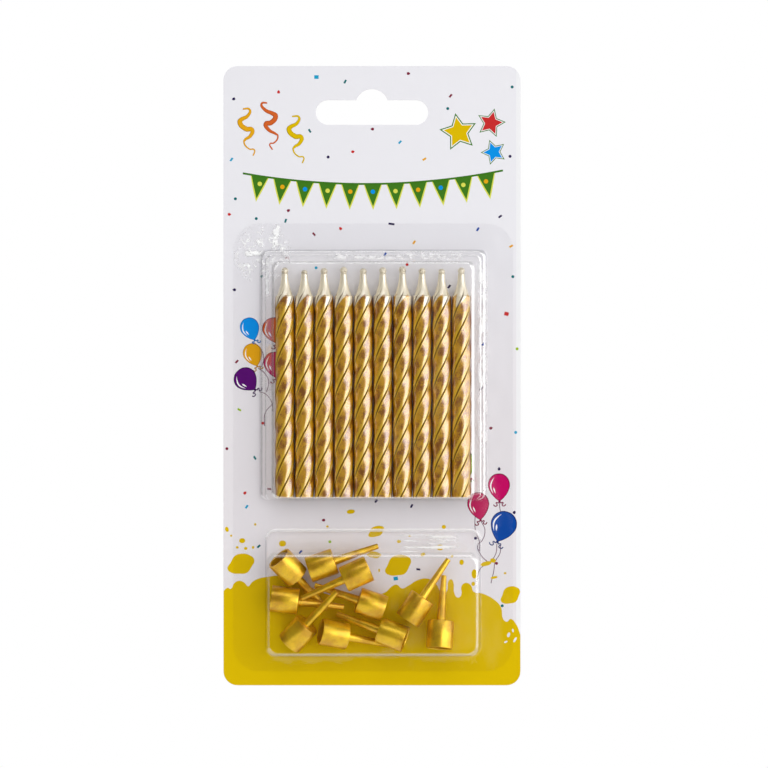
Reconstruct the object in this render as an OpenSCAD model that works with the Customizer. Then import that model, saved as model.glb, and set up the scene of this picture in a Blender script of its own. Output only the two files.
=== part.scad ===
// Carded pack of spiral birthday candles: a printed backing card, a clear blister sealed on it,
// ten twisted candles in its upper pocket and ten candle holders loose in its lower pocket.
// The printed face lies in the plane y = 0 and looks towards -Y, and +Z is up. The origin is the
// middle of the hanging slot, on the printed face.

/* [Backing card] */
// Width of the card
card_w = 84; // [80:0.5:100]
// Height of the card
card_h = 175; // [168:0.5:220]
// Thickness of the board
card_t = 0.5; // [0.3:0.05:1.2]
// Radius of the card's corners
card_corner_r = 4; // [1:0.5:8]

/* [Hanging slot] */
// Length of the slot, end to end
slot_w = 31.75; // [24:0.25:34]
// Height of the slot's wings
slot_h = 7; // [5:0.25:9]
// Radius of the notch that sits on the peg
notch_r = 4.7; // [3.5:0.1:6]
// Height of the notch above the wings
notch_rise = 3.1; // [2:0.1:3.5]
// Board left between the notch and the card's top edge
notch_edge = 6.5; // [4:0.5:12]

/* [Blister] */
// Width of the flange that is sealed to the card
flange_w = 79; // [72:0.5:83]
// Height of the flange
flange_h = 126.5; // [124:0.5:132]
// Radius of the flange's corners
flange_corner_r = 7.5; // [2:0.5:12]
// Board left below the flange
flange_edge = 4; // [1:0.5:10]
// Sideways offset of the blister on the card
blister_shift = 0.3; // [-1:0.1:1]
// Thickness of the clear sheet
sheet_t = 0.3; // [0.2:0.05:0.5]
// Flange left below the lower pocket
lower_margin = 4.6; // [3:0.2:8]
// Flange left between the two pockets
between_pockets = 7.9; // [5:0.5:12]

/* [Upper pocket] */
// Gap between the candles and the card
candle_gap = 0.1; // [0.05:0.05:0.3]
// Gap between the candles and the pocket's roof
upper_roof_room = 0.6; // [0.3:0.1:2]
// Gap beside the row of candles at each end, at the roof
side_room = 0.6; // [0.4:0.1:2]
// Gap under the candles' feet
foot_room = 0.15; // [0.1:0.05:1]
// Gap above the longest candle, at the roof
end_room = 1.1; // [0.5:0.1:4]
// How far the side and top walls lean out from the roof to the step
upper_lean = 2.4; // [1:0.1:5]
// How far the bottom wall leans out from the roof to the flange
foot_lean = 0.6; // [0.2:0.1:2]
// Width of the low step round the pocket's sides and top
step_w = 1.3; // [0.6:0.1:3]
// Height of the low step
step_h = 1; // [0.6:0.1:2]
// Radius of the pocket's corners at the roof
upper_corner_r = 2.5; // [1:0.25:5]

/* [Lower pocket] */
// Width of the lower pocket inside, at the roof
lower_w = 59; // [57:0.5:72]
// Gap between the holders' pile and the roof
lower_roof_room = 0.2; // [0.15:0.05:3]
// Gap between the holders' pile and the pocket's top edge, at the roof
lower_top_room = 0.3; // [0.1:0.05:3]
// Gap kept at the side of the holders' pile in a narrow pocket
pile_side_room = 0.6; // [0.2:0.1:3]
// How far the top wall leans out from the roof to the flange
lower_top_lean = 6.5; // [3:0.5:9]
// How far the other walls lean out from the roof to the flange
lower_lean = 0.4; // [0.2:0.1:2]
// Radius of the lower pocket's corners at the roof
lower_corner_r = 3.5; // [1:0.25:6]

/* [Candle] */
// Full length of the longest candle, wick included
candle_l = 65; // [55:1:80]
// Diameter over the twisted ribs
candle_d = 5.45; // [4.5:0.05:7]
// Gap between neighbouring candles
candle_space = 0.07; // [0.05:0.01:1]
// Height that one rib climbs in a full turn
twist_lead = 32; // [20:1:60]
// Depth of the valleys between the ribs
valley_depth = 0.36; // [0.1:0.02:0.6]
// Depth of the crease along each rib
crease_depth = 0.2; // [0.05:0.01:0.4]
// Length of the tapered tip, from the shoulder to the coated end of the wick
taper_l = 6; // [4:0.5:9]
// Diameter of the taper at the shoulder
taper_d = 3.8; // [3:0.1:4.4]
// Diameter of the wax at the top of the taper
neck_d = 1.9; // [1.6:0.1:2.4]

/* [Wick] */
// Diameter of the cotton wick in the wax
wick_d = 0.9; // [0.6:0.05:1.1]
// Radial gap between the wick and the wax
wick_fit = 0.02; // [0.01:0.01:0.05]
// Length of the longest coated end that stands out of the wax
coated_l = 2.2; // [1.5:0.1:4]
// Diameter of the coated end
coated_d = 1.7; // [1.4:0.1:2]
// Diameter of the bead at the tip of the coated end
bead_d = 1.9; // [1.7:0.1:2.4]

/* [Holder] */
// Outer diameter of the cup
cup_d = 7.4; // [6.8:0.1:9]
// Length of the cup
cup_l = 7.8; // [6:0.2:10]
// Wall of the cup round its bore
cup_wall = 0.6; // [0.5:0.05:0.8]
// Floor of the cup
cup_floor = 1; // [0.8:0.1:2]
// Chamfer round the cup's closed end
cup_chamfer = 0.3; // [0.1:0.1:0.5]
// Length of the spike
spike_l = 12.9; // [10:0.5:20]
// Diameter of the spike where it leaves the cup
spike_root_d = 2.4; // [1.8:0.1:2.5]
// Diameter of the spike at its blunt end
spike_end_d = 1.5; // [1:0.1:1.7]

/* [Hidden] */
$fn = 48;
hull_fn = 32;
hull_lip = 0.05;
overrun = 0.5;
row_count = 10;

function numbered(word, k) = str(word, "_", k < 10 ? "0" : "", k);

// Card and flange
card_top = slot_h / 2 + notch_rise + notch_edge;
card_bottom = card_top - card_h;
flange_bottom = card_bottom + flange_edge;

// A pocket's outline is [left, right, bottom, top]
function grown(box, side, bottom, top) =
    [box[0] - side, box[1] + side, box[2] - bottom, box[3] + top];

// Holders' pile. A holder's place is its mouth's middle, from the pocket's lower left corner, in
// shares of the pile's unit, and the height of its closed end above the card, in cup radii.
holder_l = cup_l + spike_l;
slender_share = 2.8;
full_pile_unit = max(holder_l, cup_d * slender_share);
pile_width_share = 2.53;
// A pocket narrower than the pile takes smaller holders
holder_scale = min(1, (lower_w - pile_side_room) / (pile_width_share * full_pile_unit));
pile_unit = holder_scale * full_pile_unit;
mouth_x_shares = [0.15, 0.55, 1.37, 0.04, 1.575, 0.29, 0.715, 1.86, 1.89, 2.32];
mouth_z_shares = [1.31, 1.14, 1.17, 0.755, 0.61, 0.145, 0.31, 0.2, 0.46, 0.08];
base_height_shares = [1.19, 1.16, 1.865, 1.055, 1.16, 1.555, 1.055, 1.35, 1.245, 1.07];
turns = [-48, 19, 204, -7, 161, 48, -12, 160, 56, 86];
tilts = [15.5, 0, 0, 0, -3, -14, 12.5, 9, 2, 11.5];
pile_top_share = 1.345;
pile_height_share = 2.865;

// Lower pocket
lower_depth = holder_scale * pile_height_share * cup_d / 2 + lower_roof_room;
lower_left = blister_shift - lower_w / 2;
lower_bottom = flange_bottom + lower_margin + sheet_t + lower_lean;
lower_roof = [
    lower_left, lower_left + lower_w,
    lower_bottom, lower_bottom + pile_top_share * pile_unit + lower_top_room
];
lower_base = grown(lower_roof, lower_lean, lower_lean, lower_top_lean);

// Upper pocket
candle_pitch = candle_d + candle_space;
row_w = candle_d + (row_count - 1) * candle_pitch;
upper_depth = candle_gap + candle_d + upper_roof_room;
upper_bottom = lower_base[3] + 2 * sheet_t + between_pockets + foot_lean;
upper_roof = [
    blister_shift - row_w / 2 - side_room, blister_shift + row_w / 2 + side_room,
    upper_bottom, upper_bottom + foot_room + candle_l + end_room
];
upper_base = grown(upper_roof, upper_lean, foot_lean, upper_lean);
upper_step = grown(upper_base, step_w, 0, step_w);

// Candle
rib_count = 4;
points_per_rib = 6;
section_points = rib_count * points_per_rib;
rib_depth_shares = [1, 0.2, 0, 0, 0, 0.2];
body_l = candle_l - taper_l - coated_l;
body_slices = 40;
taper_steps = 6;
taper_bend = 1.4;
bore_d = wick_d + 2 * wick_fit;
foot_z = upper_bottom + foot_room;
axis_y = -candle_gap - candle_d / 2;
// How far each candle is turned, in ribs, and how long its coated end is
rib_turn_shares = [0.07, 0.2, 0, 0.22, 0.04, 0.02, 0.35, 0, 0.93, 0.5];
coated_shares = [0.85, 0.55, 0.8, 0.95, 0.75, 0.9, 1, 0.8, 0.7, 0.85];

module slab(front, thickness) {
    translate([0, front + thickness, 0])
        rotate([90, 0, 0])
            linear_extrude(thickness) children();
}

module rounded_outline(box, radius) {
    translate([box[0], box[2] + radius])
        square([box[1] - box[0], box[3] - box[2] - 2 * radius]);
    translate([box[0] + radius, box[2]])
        square([box[1] - box[0] - 2 * radius, box[3] - box[2]]);
    for (x = [box[0] + radius, box[1] - radius])
        for (z = [box[2] + radius, box[3] - radius])
            translate([x, z]) circle(radius);
}

// A block whose walls lean from the outline at the card to the outline at the roof
module leaning_block(base, roof, back, depth, radius, growth) {
    hull() {
        slab(-hull_lip, hull_lip + back)
            rounded_outline(grown(base, growth, growth, growth), radius + growth, $fn = hull_fn);
        slab(-depth, hull_lip)
            rounded_outline(grown(roof, growth, growth, growth), radius + growth, $fn = hull_fn);
    }
}

module hanging_slot() {
    wing_r = slot_h / 2;
    square([slot_w - slot_h, slot_h], center = true);
    for (side = [-1, 1])
        translate([side * (slot_w / 2 - wing_r), 0]) circle(wing_r);
    translate([0, wing_r + notch_rise - notch_r]) circle(notch_r);
}

module backing_card() {
    card = [-card_w / 2, card_w / 2, card_bottom, card_top];
    color("lavenderblush")
        difference() {
            slab(0, card_t) rounded_outline(card, card_corner_r);
            slab(-overrun, card_t + 2 * overrun) hanging_slot();
        }
}

module blister() {
    flange_left = blister_shift - flange_w / 2;
    flange = [flange_left, flange_left + flange_w, flange_bottom, flange_bottom + flange_h];
    color("aliceblue", 0.35)
        difference() {
            union() {
                slab(-sheet_t, sheet_t) rounded_outline(flange, flange_corner_r);
                slab(-step_h - sheet_t, step_h + sheet_t)
                    rounded_outline(grown(upper_step, sheet_t, sheet_t, sheet_t), upper_corner_r + step_w);
                leaning_block(upper_base, upper_roof, 0, upper_depth + sheet_t, upper_corner_r, sheet_t);
                leaning_block(lower_base, lower_roof, 0, lower_depth + sheet_t, lower_corner_r, sheet_t);
            }
            slab(-step_h, step_h + overrun)
                rounded_outline(upper_step, upper_corner_r + step_w - sheet_t);
            leaning_block(upper_base, upper_roof, overrun, upper_depth, upper_corner_r, 0);
            leaning_block(lower_base, lower_roof, overrun, lower_depth, lower_corner_r, 0);
        }
}

module candle_place(k) {
    translate([blister_shift - row_w / 2 + candle_d / 2 + (k - 1) * candle_pitch, axis_y, foot_z])
        children();
}

module twisted_section(k) {
    crease_at = points_per_rib / 2;
    rotate(rib_turn_shares[k - 1] * 360 / rib_count)
        polygon([
            for (i = [0:section_points - 1])
                let (
                    step = i % points_per_rib,
                    cut = step == crease_at ? crease_depth : rib_depth_shares[step] * valley_depth,
                    angle = i * 360 / section_points
                )
                (candle_d / 2 - cut) * [cos(angle), sin(angle)]
        ]);
}

module taper() {
    function radius_at(t) = (neck_d + (taper_d - neck_d) * pow(1 - t, taper_bend)) / 2;
    rotate_extrude()
        polygon(concat(
            [[0, taper_l], [0, 0]],
            [for (i = [0:taper_steps]) [radius_at(i / taper_steps), taper_l * i / taper_steps]]
        ));
}

module candle(k) {
    color("goldenrod")
        candle_place(k)
            difference() {
                union() {
                    linear_extrude(
                        body_l, twist = -360 * body_l / twist_lead,
                        slices = body_slices, segments = section_points
                    )
                        twisted_section(k);
                    translate([0, 0, body_l]) taper();
                }
                translate([0, 0, -overrun])
                    cylinder(h = body_l + taper_l + 2 * overrun, d = bore_d);
            }
}

module wick(k) {
    wax_l = body_l + taper_l;
    free_l = coated_l * coated_shares[k - 1];
    color("khaki")
        candle_place(k) {
            cylinder(h = wax_l + free_l / 2, d = wick_d);
            translate([0, 0, wax_l])
                intersection() {
                    union() {
                        cylinder(h = free_l - bead_d / 2, d = coated_d);
                        translate([0, 0, free_l - bead_d / 2]) sphere(d = bead_d);
                    }
                    cylinder(h = free_l + overrun, d = bead_d + overrun);
                }
        }
}

module holder(k) {
    i = k - 1;
    height = holder_scale * (base_height_shares[i] * cup_d / 2 + cup_l * sin(tilts[i]));
    color("darkgoldenrod")
        translate([
            lower_left + mouth_x_shares[i] * pile_unit, -height,
            lower_bottom + mouth_z_shares[i] * pile_unit
        ])
            rotate([-tilts[i], 90 - turns[i], 0]) scale(holder_scale)
                difference() {
                    union() {
                        cylinder(h = cup_l - cup_chamfer, d = cup_d);
                        translate([0, 0, cup_l - cup_chamfer])
                            cylinder(h = cup_chamfer, d1 = cup_d, d2 = cup_d - 2 * cup_chamfer);
                        translate([0, 0, cup_l])
                            cylinder(h = spike_l, d1 = spike_root_d, d2 = spike_end_d);
                    }
                    translate([0, 0, -overrun])
                        cylinder(h = cup_l - cup_floor + overrun, d = cup_d - 2 * cup_wall);
                }
}

backing_card();
blister();
for (k = [1:row_count]) candle(k);
for (k = [1:row_count]) wick(k);
for (k = [1:row_count]) holder(k);
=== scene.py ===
import math

import bmesh
import bpy
from mathutils import Matrix, Vector


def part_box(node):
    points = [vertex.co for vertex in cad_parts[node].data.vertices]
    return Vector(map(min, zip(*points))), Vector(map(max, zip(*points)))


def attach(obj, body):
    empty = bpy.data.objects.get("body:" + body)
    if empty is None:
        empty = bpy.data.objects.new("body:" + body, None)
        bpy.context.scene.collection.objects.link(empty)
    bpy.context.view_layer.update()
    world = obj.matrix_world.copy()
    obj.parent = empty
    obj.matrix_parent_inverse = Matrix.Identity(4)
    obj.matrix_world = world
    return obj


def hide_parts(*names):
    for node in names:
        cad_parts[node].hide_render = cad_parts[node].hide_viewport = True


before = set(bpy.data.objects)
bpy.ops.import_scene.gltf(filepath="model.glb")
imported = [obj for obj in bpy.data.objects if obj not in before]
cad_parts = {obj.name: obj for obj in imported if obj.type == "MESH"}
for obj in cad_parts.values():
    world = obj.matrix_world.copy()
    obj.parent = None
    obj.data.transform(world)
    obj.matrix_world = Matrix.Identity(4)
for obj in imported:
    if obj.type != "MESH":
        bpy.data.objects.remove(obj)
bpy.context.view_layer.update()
mm = 0.001
print("frame loaded:", len(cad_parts), "nodes")


# mesh helpers; the first piece given is made the active one

def selectOnly(*pieces):
    bpy.ops.object.select_all(action="DESELECT")
    for piece in pieces:
        piece.select_set(True)
    bpy.context.view_layer.objects.active = pieces[0]


def openPiece(piece):
    selectOnly(piece)
    bpy.ops.object.mode_set(mode="EDIT")


def closePiece():
    bpy.ops.object.mode_set(mode="OBJECT")


# a level circle to extrude from, opened for editing; its radius and height are in mm
def startCircle(points, radius, height=0, fill="NGON"):
    bpy.ops.mesh.primitive_circle_add(vertices=points, radius=radius * mm, fill_type=fill,
                                      location=(0, 0, height * mm))
    bpy.ops.object.transform_apply(location=True)
    bpy.ops.object.mode_set(mode="EDIT")
    return bpy.context.object


# selects the points or edges whose middle, in mm, passes the test
def pick(piece, kind, test):
    bpy.ops.mesh.select_mode(type=kind)
    bpy.ops.mesh.select_all(action="DESELECT")
    cage = bmesh.from_edit_mesh(piece.data)
    if kind == "VERT":
        for vert in cage.verts:
            vert.select_set(bool(test(vert.co / mm)))
    else:
        for edge in cage.edges:
            edge.select_set(bool(test((edge.verts[0].co + edge.verts[1].co) / 2 / mm)))
    cage.select_flush_mode()
    bmesh.update_edit_mesh(piece.data)


# both work round the upright axis that a piece is drawn on
def turn(degrees):
    bpy.ops.transform.rotate(value=math.radians(degrees), orient_axis="Z", center_override=(0, 0, 0))


def widen(share):
    bpy.ops.transform.resize(value=(share, share, 1), center_override=(0, 0, 0))


def smooth(piece, degrees):
    selectOnly(piece)
    bpy.ops.object.shade_smooth_by_angle(angle=math.radians(degrees))


def cleanMesh(piece):
    openPiece(piece)
    bpy.ops.mesh.select_all(action="SELECT")
    bpy.ops.mesh.remove_doubles(threshold=1e-6)
    bpy.ops.mesh.normals_make_consistent(inside=False)
    closePiece()


# a copy of a master with its own mesh, placed by a matrix in mm
def placeCopy(master, name, matrix):
    piece = master.copy()
    piece.data = master.data.copy()
    piece.name = piece.data.name = name
    bpy.context.collection.objects.link(piece)
    inMetres = matrix.copy()
    inMetres.translation = matrix.translation * mm
    piece.data.transform(inMetres)
    return piece


def finishPiece(piece, body, material, nodes=()):
    piece.data.materials.clear()
    piece.data.materials.append(material)
    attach(piece, body)
    if nodes:
        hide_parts(*nodes)


# shader helpers

def tint(red, green, blue):
    def linear(value):
        share = value / 255
        return share / 12.92 if share <= 0.04045 else ((share + 0.055) / 1.055) ** 2.4
    return (linear(red), linear(green), linear(blue), 1)


class Wire:
    def __init__(self, finish, socket):
        self.finish = finish
        self.socket = socket

    def maths(self, operation, *others):
        sockets = dict(enumerate((self, *others)))
        return self.finish.add("ShaderNodeMath", {"operation": operation}, sockets)

    def __add__(self, other):
        return self.maths("ADD", other)

    __radd__ = __add__

    def __mul__(self, other):
        return self.maths("MULTIPLY", other)

    __rmul__ = __mul__

    def __sub__(self, other):
        return self.maths("SUBTRACT", other)

    def __rsub__(self, other):
        return self.finish.add("ShaderNodeMath", {"operation": "SUBTRACT"}, {0: other, 1: self})

    def __truediv__(self, other):
        return self.maths("DIVIDE", other)

    def __pow__(self, other):
        return self.maths("POWER", other)

    def __lt__(self, other):
        return self.maths("LESS_THAN", other)

    def size(self):
        return self.maths("ABSOLUTE")

    # the same value, kept between 0 and 1
    def clamped(self):
        self.socket.node.use_clamp = True
        return self


# the nodes of one material, or of the world
class Finish:
    def __init__(self, name, world=False):
        self.owner = (bpy.data.worlds if world else bpy.data.materials).new(name)
        self.owner.use_nodes = True
        self.nodes = self.owner.node_tree.nodes
        self.links = self.owner.node_tree.links
        self.nodes.clear()
        self.out = self.nodes.new("ShaderNodeOutputWorld" if world else "ShaderNodeOutputMaterial")

    # a node of a type with its settings, then its socket values or links; gives one output
    def add(self, kind, settings=None, sockets=None, output=0):
        node = self.nodes.new(kind)
        for key, value in (settings or {}).items():
            setattr(node, key, value)
        for key, value in (sockets or {}).items():
            if isinstance(value, Wire):
                self.links.new(value.socket, node.inputs[key])
            else:
                node.inputs[key].default_value = value
        return Wire(self, node.outputs[output])

    # the place on the piece, in mm
    def place(self):
        coords = self.add("ShaderNodeTexCoord", output="Object")
        return self.add("ShaderNodeVectorMath", {"operation": "SCALE"}, {0: coords, "Scale": 1000})

    def axes(self, place):
        split = self.add("ShaderNodeSeparateXYZ", sockets={0: place})
        outputs = split.socket.node.outputs
        return [Wire(self, outputs[i]) for i in range(3)]

    def noise(self, place, scale, detail=2, roughness=0.5, stretch=None):
        if stretch:
            place = self.add("ShaderNodeMapping", sockets={"Vector": place, "Scale": stretch})
        return self.add("ShaderNodeTexNoise", sockets={"Vector": place, "Scale": scale, "Detail": detail,
                                                       "Roughness": roughness})

    def ramp(self, value, low, high, lowOut=0, highOut=1):
        return self.add("ShaderNodeMapRange", {"interpolation_type": "SMOOTHSTEP"},
                        {"Value": value, "From Min": low, "From Max": high,
                         "To Min": lowOut, "To Max": highOut})

    # each colour is a Wire or (red, green, blue) out of 255
    def mixColour(self, factor, first, second):
        first, second = [c if isinstance(c, Wire) else tint(*c) for c in (first, second)]
        return self.add("ShaderNodeMix", {"data_type": "RGBA"}, {0: factor, 6: first, 7: second}, output=2)

    def mixShader(self, factor, first, second):
        return self.add("ShaderNodeMixShader", sockets={0: factor, 1: first, 2: second})

    def bump(self, height, distance, strength):
        return self.add("ShaderNodeBump", sockets={"Height": height, "Distance": distance * mm,
                                                   "Strength": strength})

    def attribute(self, name):
        return self.add("ShaderNodeAttribute", {"attribute_name": name}, output="Fac")

    def surface(self, shader):
        self.links.new(shader.socket, self.out.inputs["Surface"])
        return self.owner


# candles: four twisted ribs, a ledge at the shoulder and a drawn-out tip

candle = {
    "firstX": -24.54,
    "spacing": 5.52,
    "axisY": -2.825,
    "footZ": -108.68,
    "radius": 2.745,
    "bodyLength": 56.8,
    "taperLength": 6.0,
    "shoulderRadius": 2.3,
    "tipRadius": 0.96,
    "taperBend": 1.95,
    "lead": 32.0,
    "valleyDepth": 0.19,
    "creaseDepth": 0.3,
    "boreRadius": 0.47,
    "layers": 72,
    "footHole": 0.3,
    "ribTurns": [0.07, 0.2, 0, 0.22, 0.04, 0.02, 0.35, 0, 0.93, 0.5],
    "lobePeak": 0.27,
    # where on each rib the painted highlight is centred
    "highlightPeak": 0.45,
    "foot": (0.15, 0.965),
    "rim": (0.2, 0.985),
    "rimEdge": (0.15, 0.95),
    "shoulderRound": 0.98,
    "tipSteps": 14,
    "topLip": 0.88,
    "brownGold": (150, 88, 0),
    "brightGold": (216, 160, 0),
    # the next four are painted: a highlight on the ribs' flanks, a paler tip, shade along the touching sides
    # and shade in the creases
    "highlightGold": (232, 188, 10),
    "paleTip": (246, 238, 214),
    "sideShadeBrown": (136, 70, 0),
    "creaseShadeBrown": (74, 34, 0),
}
ribs = 4
ribPoints = 24
creaseCut = {12: 1.0, 13: 0.5}
# painted shade in each rib's crease, by point along the rib
creasePaintedShade = {11: 0.3, 12: 1.0, 13: 0.7}


def wave(share, peak):
    return 0.5 + 0.5 * math.cos(2 * math.pi * (share - peak))


# how far the rib's outline lies inside the candle's radius: a soft lobe, and a sharp crease in its flank
def ribDepth(point):
    lobe = 1 - wave(point / ribPoints, candle["lobePeak"])
    return lobe * candle["valleyDepth"] + creaseCut.get(point, 0) * candle["creaseDepth"]


def makeCandle():
    c = candle
    points = ribs * ribPoints
    piece = startCircle(points, c["radius"], fill="NOTHING")

    def ribPoint(place):
        angle = math.atan2(place.y, place.x) % (2 * math.pi)
        return round(angle / (2 * math.pi) * points) % ribPoints

    for point in range(ribPoints):
        depth = ribDepth(point)
        if depth > 0:
            pick(piece, "VERT", lambda place, point=point: ribPoint(place) == point)
            share = 1 - depth / c["radius"]
            widen(share)
    bpy.ops.mesh.select_all(action="SELECT")
    (footHeight, foot), (rimHeight, rim), (edgeHeight, edge) = c["foot"], c["rim"], c["rimEdge"]
    widen(foot)
    layer = (c["bodyLength"] - footHeight - rimHeight - edgeHeight) / c["layers"]

    def rise(height, scale=1.0, rounding=0.0, spin=True):
        bpy.ops.mesh.extrude_region_move(TRANSFORM_OT_translate={"value": (0, 0, height * mm)})
        if spin:
            turn(-360 * height / c["lead"])
        if scale != 1.0:
            widen(scale)
        if rounding:
            bpy.ops.transform.tosphere(value=rounding)

    rise(footHeight, 1 / foot)
    for _ in range(c["layers"]):
        rise(layer)
    rise(rimHeight, rim)
    rise(edgeHeight, edge)
    # the ledge
    shoulder = c["shoulderRadius"] / (c["radius"] * rim * edge * c["shoulderRound"])
    rise(0.05, (1 + shoulder) / 2)
    rise(0.03, 2 * shoulder / (1 + shoulder), 0.35)
    # the tip
    steps = c["tipSteps"]
    last = c["shoulderRadius"]
    for step in range(1, steps + 1):
        drawn = 1 - (1 - step / steps) ** c["taperBend"]
        now = c["shoulderRadius"] - (c["shoulderRadius"] - c["tipRadius"]) * drawn
        rise(c["taperLength"] / steps, now / last, 0.22)
        last = now
    # the bore, from the tip's ring down to the foot's
    rise(0.06, c["topLip"], 0.6)
    rise(0.0, c["boreRadius"] / (c["tipRadius"] * c["topLip"]), 1.0, spin=False)
    pick(piece, "EDGE", lambda place: place.z < 0.001)
    bpy.ops.mesh.extrude_region_move(TRANSFORM_OT_translate={"value": (0, 0, 0)})
    widen(c["footHole"])
    bpy.ops.transform.tosphere(value=1.0)
    pick(piece, "EDGE", lambda place: place.z < 0.001 and place.xy.length < 1.0)
    inner = c["boreRadius"] / measureRing(piece)
    widen(inner)
    cage = bmesh.from_edit_mesh(piece.data)
    for line in cage.edges:
        inRing = all(abs(v.co.xy.length / mm - c["boreRadius"]) < 0.03 for v in line.verts)
        flat = abs(line.verts[0].co.z - line.verts[1].co.z) < 1e-8
        line.select_set(inRing and flat and line.is_boundary)
    bmesh.update_edit_mesh(piece.data)
    bpy.ops.mesh.bridge_edge_loops()
    closePiece()
    cleanMesh(piece)
    markRibs(piece)
    return piece


# two values on the wax: a painted highlight along one flank of each rib, and painted shade in its crease
def markRibs(piece):
    pale = piece.data.attributes.new("paintedFlankHighlight", "FLOAT", "POINT")
    dark = piece.data.attributes.new("creaseShade", "FLOAT", "POINT")
    for i, vert in enumerate(piece.data.vertices):
        x, y, z = vert.co / mm
        twist = math.atan2(y, x) - 2 * math.pi * z / candle["lead"]
        share = (twist / (2 * math.pi) * ribs) % 1
        pale.data[i].value = wave(share, candle["highlightPeak"]) ** 1.1
        point = round(share * ribPoints) % ribPoints
        fade = 1 if z < candle["bodyLength"] else max(0, 1 - (z - candle["bodyLength"]) / 2.5)
        dark.data[i].value = fade * creasePaintedShade.get(point, 0)


# the mean radius of the points that are picked
def measureRing(piece):
    cage = bmesh.from_edit_mesh(piece.data)
    ring = [v.co.xy.length / mm for v in cage.verts if v.select]
    return sum(ring) / len(ring)


def makeWaxFinish():
    c = candle
    f = Finish("pearlGoldWax")
    place = f.place()
    broad = f.noise(place, 0.35, 2)
    fine = f.noise(place, 3.2, 3, 0.6)
    foil = f.noise(place, 5.5, 2, 0.6, stretch=(1, 1, 0.35))
    patches = f.ramp(f.noise(place, 0.2, 1), 0.64, 0.7)
    crinkle = foil * patches * 0.9 + fine * 0.2
    # the drawn tips are painted paler, the paleness reaching down along each rib's painted highlight, and the
    # sides that touch the next candle get painted shade in brown
    x, y, z = f.axes(place)
    offset = f.add("ShaderNodeMath", {"operation": "PINGPONG"},
                   {0: x - c["firstX"] + c["spacing"] * 2, 1: c["spacing"] / 2})
    side = f.ramp(offset, 2.2, 2.7) * f.ramp(z, -50.5, -52)
    flank = f.attribute("paintedFlankHighlight")
    crease = f.attribute("creaseShade")
    tip = f.ramp(z + flank * 3.4 + fine * 1.2, -51.5, -50.5)
    lumps = f.ramp(z, -47.4, -46.2)
    crinkle = crinkle + fine * lumps * 1.2
    cloud = f.ramp(broad * 0.6 + fine * 0.4, 0.41, 0.56)
    gold = f.mixColour(cloud, c["brownGold"], c["brightGold"])
    # painted highlight: paler gold along one flank of each rib
    gold = f.mixColour(f.ramp(flank + (fine - 0.5) * 0.7, 0.4, 0.85) * 0.85, gold, c["highlightGold"])
    # the drawn tips painted paler, reaching down along the painted highlight
    gold = f.mixColour(tip * 0.9, gold, c["paleTip"])
    # painted shade: brown along the sides that touch the next candle
    gold = f.mixColour(side * 0.8, gold, c["sideShadeBrown"])
    # painted shade: dark brown in the creases
    gold = f.mixColour(crease, gold, c["creaseShadeBrown"])
    normal = f.bump(crinkle, 0.16, 0.9)
    rough = f.ramp(fine, 0.3, 0.7, 0.36, 0.46)
    metal = (0.22 + side * 0.1).clamped()
    # the coat comes off in the creases and along the touching sides, deepening the painted shade there
    varnish = (1 - crease * 1.2 - side).clamped()
    shader = f.add("ShaderNodeBsdfPrincipled", sockets={
        "Base Color": gold, "Roughness": rough, "Metallic": metal, "Normal": normal,
        "IOR": 1.4, "Specular Tint": (0.8, 0.62, 0.2, 1), "Coat Weight": varnish,
        "Coat Roughness": 0.24, "Coat IOR": 2.6})
    return f.surface(shader)


wick = {
    "start": 0.15,
    "radius": 0.45,
    "coatRadius": 0.9,
    "beadRadius": 1.04,
    "neck": 0.2,
    "lumps": 0.07,
    "freeLength": 2.2,
    "freeShares": [0.85, 0.55, 0.8, 0.95, 0.75, 0.9, 1, 0.8, 0.7, 0.85],
    "soot": (120, 84, 30),
    "paleWax": (250, 240, 214),
}


def makeWickFinish():
    f = Finish("coatedWick")
    place = f.place()
    speck = f.noise(place, 4.5, 3, 0.65)
    pale = f.mixColour(f.ramp(speck, 0.38, 0.46), wick["soot"], wick["paleWax"])
    normal = f.bump(speck, 0.25, 0.8)
    shader = f.add("ShaderNodeBsdfPrincipled", sockets={
        "Base Color": pale, "Roughness": 0.36, "Metallic": 0.3, "Normal": normal,
        "Coat Weight": 0.8, "Coat Roughness": 0.25, "Coat IOR": 1.8})
    return f.surface(shader)


# a rod through the wax and a lumpy coated end above the tip
def makeWick(number):
    c, w = candle, wick
    tipZ = c["bodyLength"] + c["taperLength"] + 0.2
    free = w["freeLength"] * w["freeShares"][number] - 0.2
    piece = startCircle(32, w["radius"], w["start"])
    bpy.ops.mesh.select_all(action="SELECT")
    rows = [(tipZ - w["start"], w["radius"]), (0.01, w["coatRadius"] * 0.95), (0.05, w["coatRadius"])]
    # a ball on a short neck
    low, bead = free * w["neck"], w["beadRadius"]
    rows.append((low, w["coatRadius"] * 0.92))
    for degrees in (-45, -20, 5, 28, 50, 68, 82):
        height = free - bead + bead * math.sin(math.radians(degrees))
        rows.append((max(0.02, height - low), bead * math.cos(math.radians(degrees))))
        low = max(low + 0.02, height)
    radius = w["radius"]
    for height, nextRadius in rows:
        bpy.ops.mesh.extrude_region_move(TRANSFORM_OT_translate={"value": (0, 0, height * mm)})
        share = nextRadius / radius
        widen(share)
        radius = nextRadius
    pick(piece, "VERT", lambda place: place.z > tipZ + 0.1)
    bpy.ops.transform.vertex_random(offset=w["lumps"] * mm, seed=number)
    closePiece()
    cleanMesh(piece)
    smooth(piece, 50)
    return piece


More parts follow.
